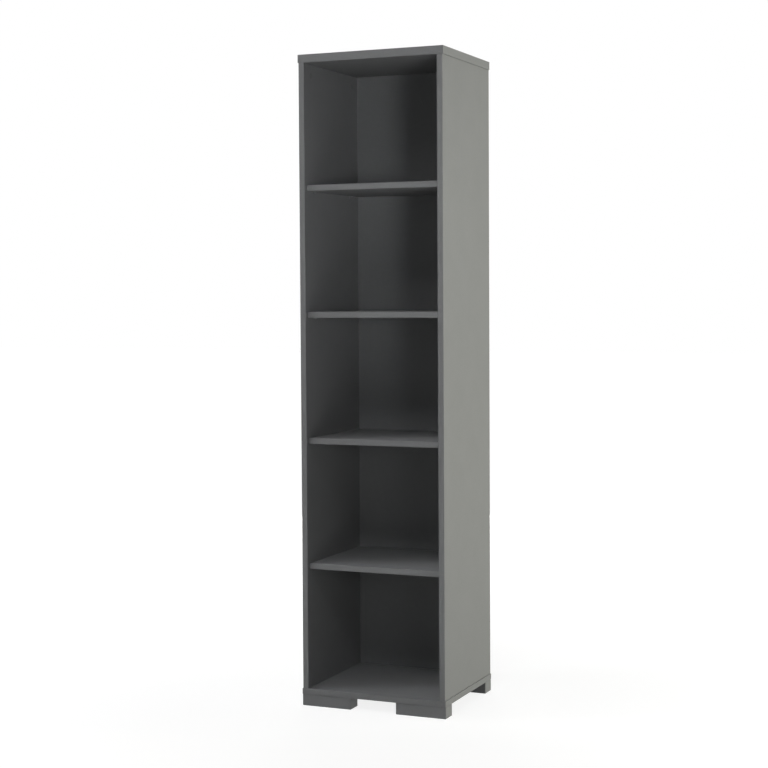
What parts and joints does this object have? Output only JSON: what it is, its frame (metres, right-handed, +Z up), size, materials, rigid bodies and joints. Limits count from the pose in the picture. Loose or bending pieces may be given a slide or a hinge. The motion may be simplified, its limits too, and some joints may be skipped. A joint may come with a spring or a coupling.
{
  "type": "bookcase",
  "caption": "Tall narrow open bookcase in matt grey lacquered board: loose shelves on supports between plain sides, a thin rebated back, a thicker top and wide, low block feet.",
  "frame": {"origin": "on the floor under the middle of the case", "axes": "+Z up; the open front faces -Y; +X is to the right of someone who faces the front"},
  "size_m": [0.475, 0.405, 2],
  "materials": {
    "lacquered_board": "matt grey lacquer on medium-density fibreboard",
    "back_board": "thin hard fibreboard, matt grey lacquer",
    "grey_coated_steel": "matt grey powder coat on pressed steel",
    "zinc_plated_steel": "bright zinc plating",
    "zinc_casting": "as-cast zinc alloy",
    "cap_plastic": "matt moulded plastic in the grey of the boards",
    "beech": "plain turned beech"
  },
  "bodies": {
    "case": {"bottom_panel": "lacquered_board", "left_side_panel": "lacquered_board", "right_side_panel": "lacquered_board", "top_panel": "lacquered_board", "front_left_foot": "lacquered_board", "front_right_foot": "lacquered_board", "rear_left_foot": "lacquered_board", "rear_right_foot": "lacquered_board", "back_panel": "back_board", "shelf_1_supports": "grey_coated_steel", "shelf_2_supports": "grey_coated_steel", "shelf_3_supports": "grey_coated_steel", "shelf_4_supports": "grey_coated_steel", "foot_screws": "zinc_plated_steel", "bottom_dowels": "beech", "assembly_screws": "zinc_plated_steel", "cam_discs": "zinc_casting", "cam_bolts": "zinc_plated_steel", "top_dowels": "beech", "cam_caps": "cap_plastic", "back_screws": "zinc_plated_steel"},
    "shelf_1": {"shelf_1": "lacquered_board"},
    "shelf_2": {"shelf_2": "lacquered_board"},
    "shelf_3": {"shelf_3": "lacquered_board"},
    "shelf_4": {"shelf_4": "lacquered_board"}
  },
  "joints": [
    {"name": "shelf_1_slide", "type": "slide", "parent": "case", "child": "shelf_1", "axis": [0, -1, 0], "range_m": [0, 0.045]},
    {"name": "shelf_2_slide", "type": "slide", "parent": "case", "child": "shelf_2", "axis": [0, -1, 0], "range_m": [0, 0.045]},
    {"name": "shelf_3_slide", "type": "slide", "parent": "case", "child": "shelf_3", "axis": [0, -1, 0], "range_m": [0, 0.045]},
    {"name": "shelf_4_slide", "type": "slide", "parent": "case", "child": "shelf_4", "axis": [0, -1, 0], "range_m": [0, 0.045]}
  ]
}
